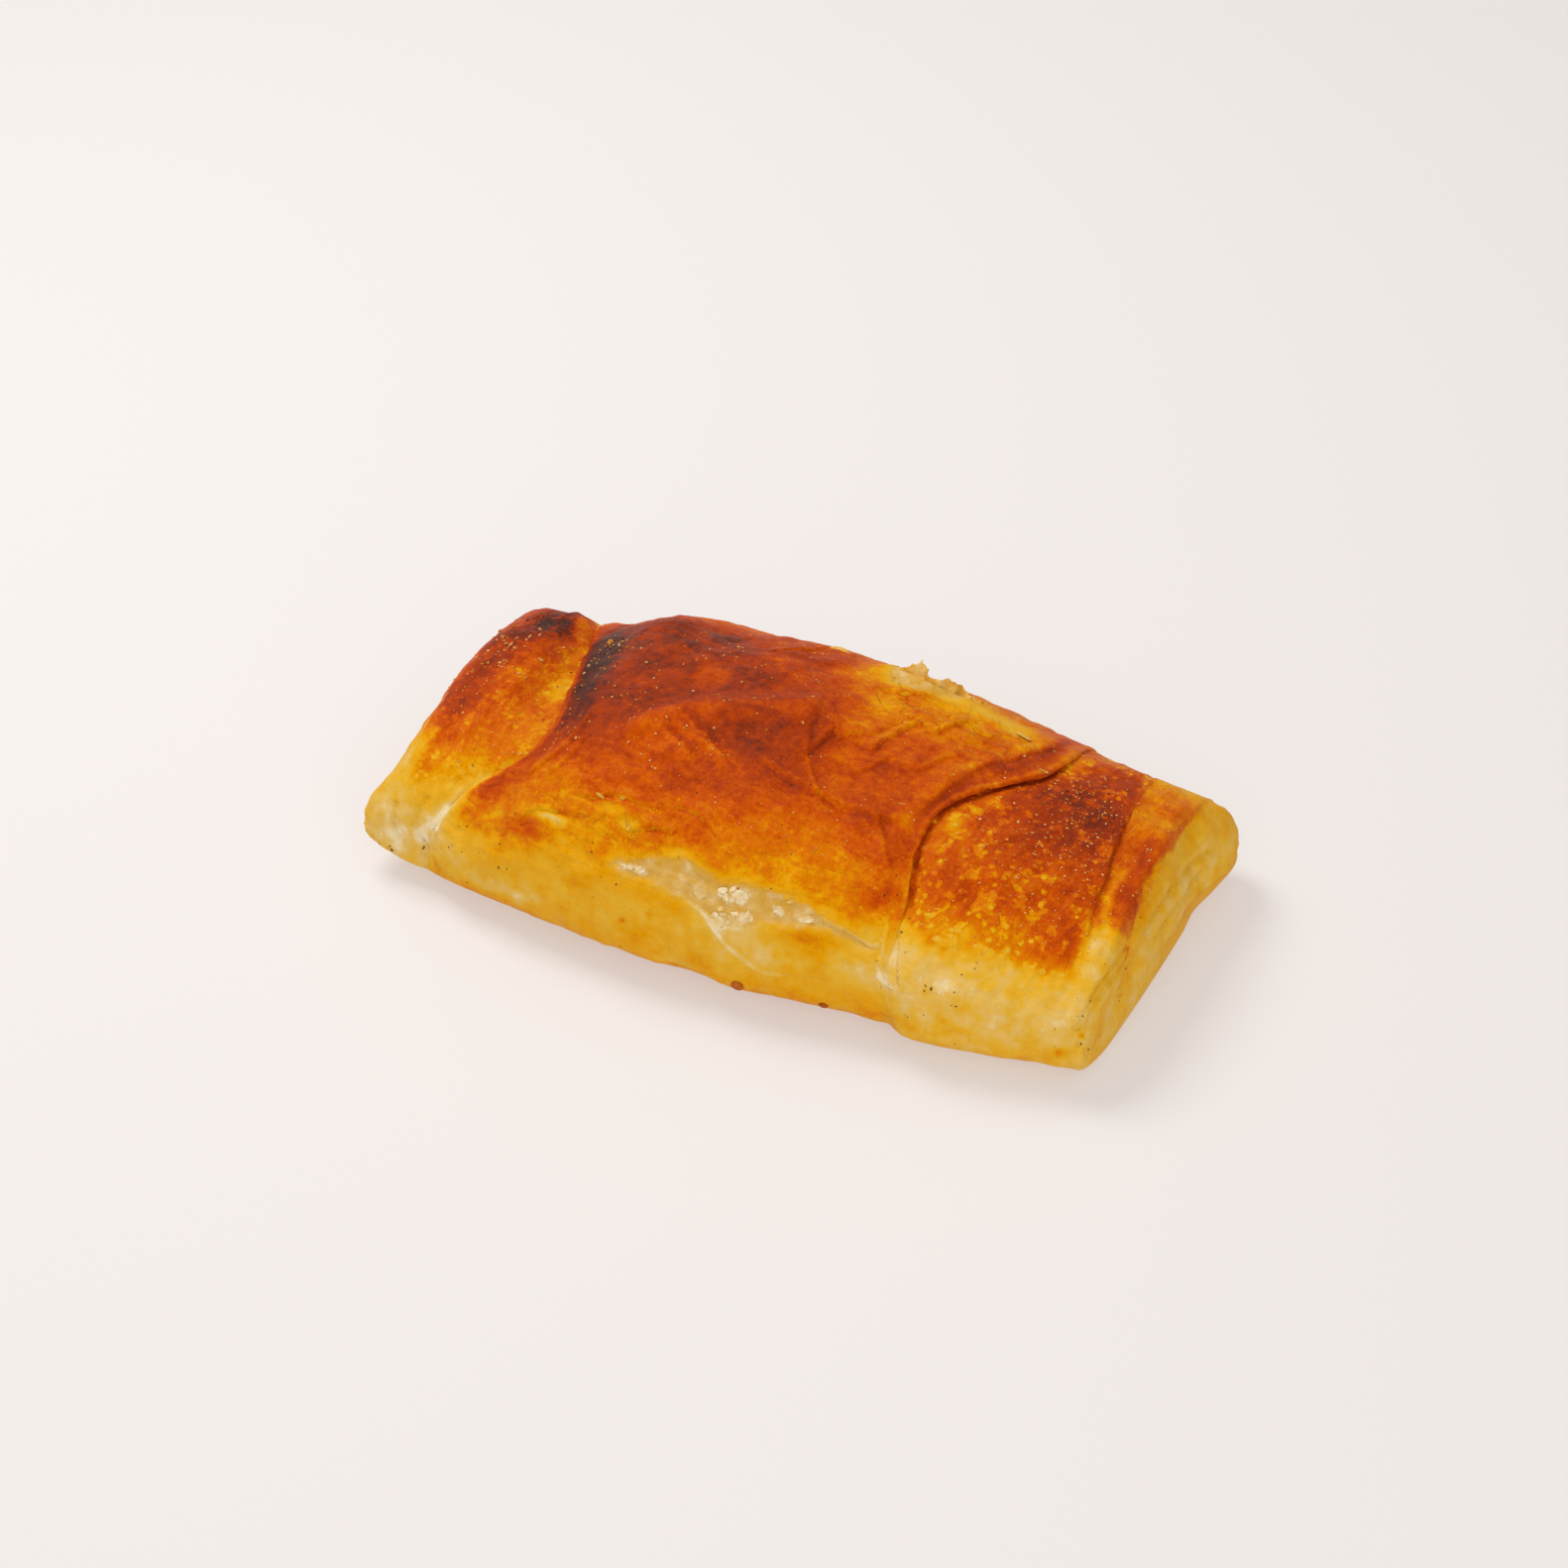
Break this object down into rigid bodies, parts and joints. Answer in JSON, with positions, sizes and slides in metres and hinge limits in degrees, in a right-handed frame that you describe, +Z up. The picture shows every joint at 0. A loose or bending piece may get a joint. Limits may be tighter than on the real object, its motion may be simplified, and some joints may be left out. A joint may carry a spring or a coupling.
{
  "type": "lentil borek",
  "caption": "Baked rectangular pastry parcel of folded dough sheets with browned overlapping laps, a flaked front strip and a tucked end, to serve as food.",
  "frame": {"origin": "on the table, under the middle of the parcel", "axes": "+X along the parcel to its tucked right end, -Y to the front that shows the flaked strip, +Z up"},
  "size_m": [0.1528, 0.0812, 0.0386],
  "materials": {
    "crust": "baked dough, satin egg wash over matt flaky layers"
  },
  "bodies": {
    "root": {"borek": "crust"}
  },
  "joints": []
}
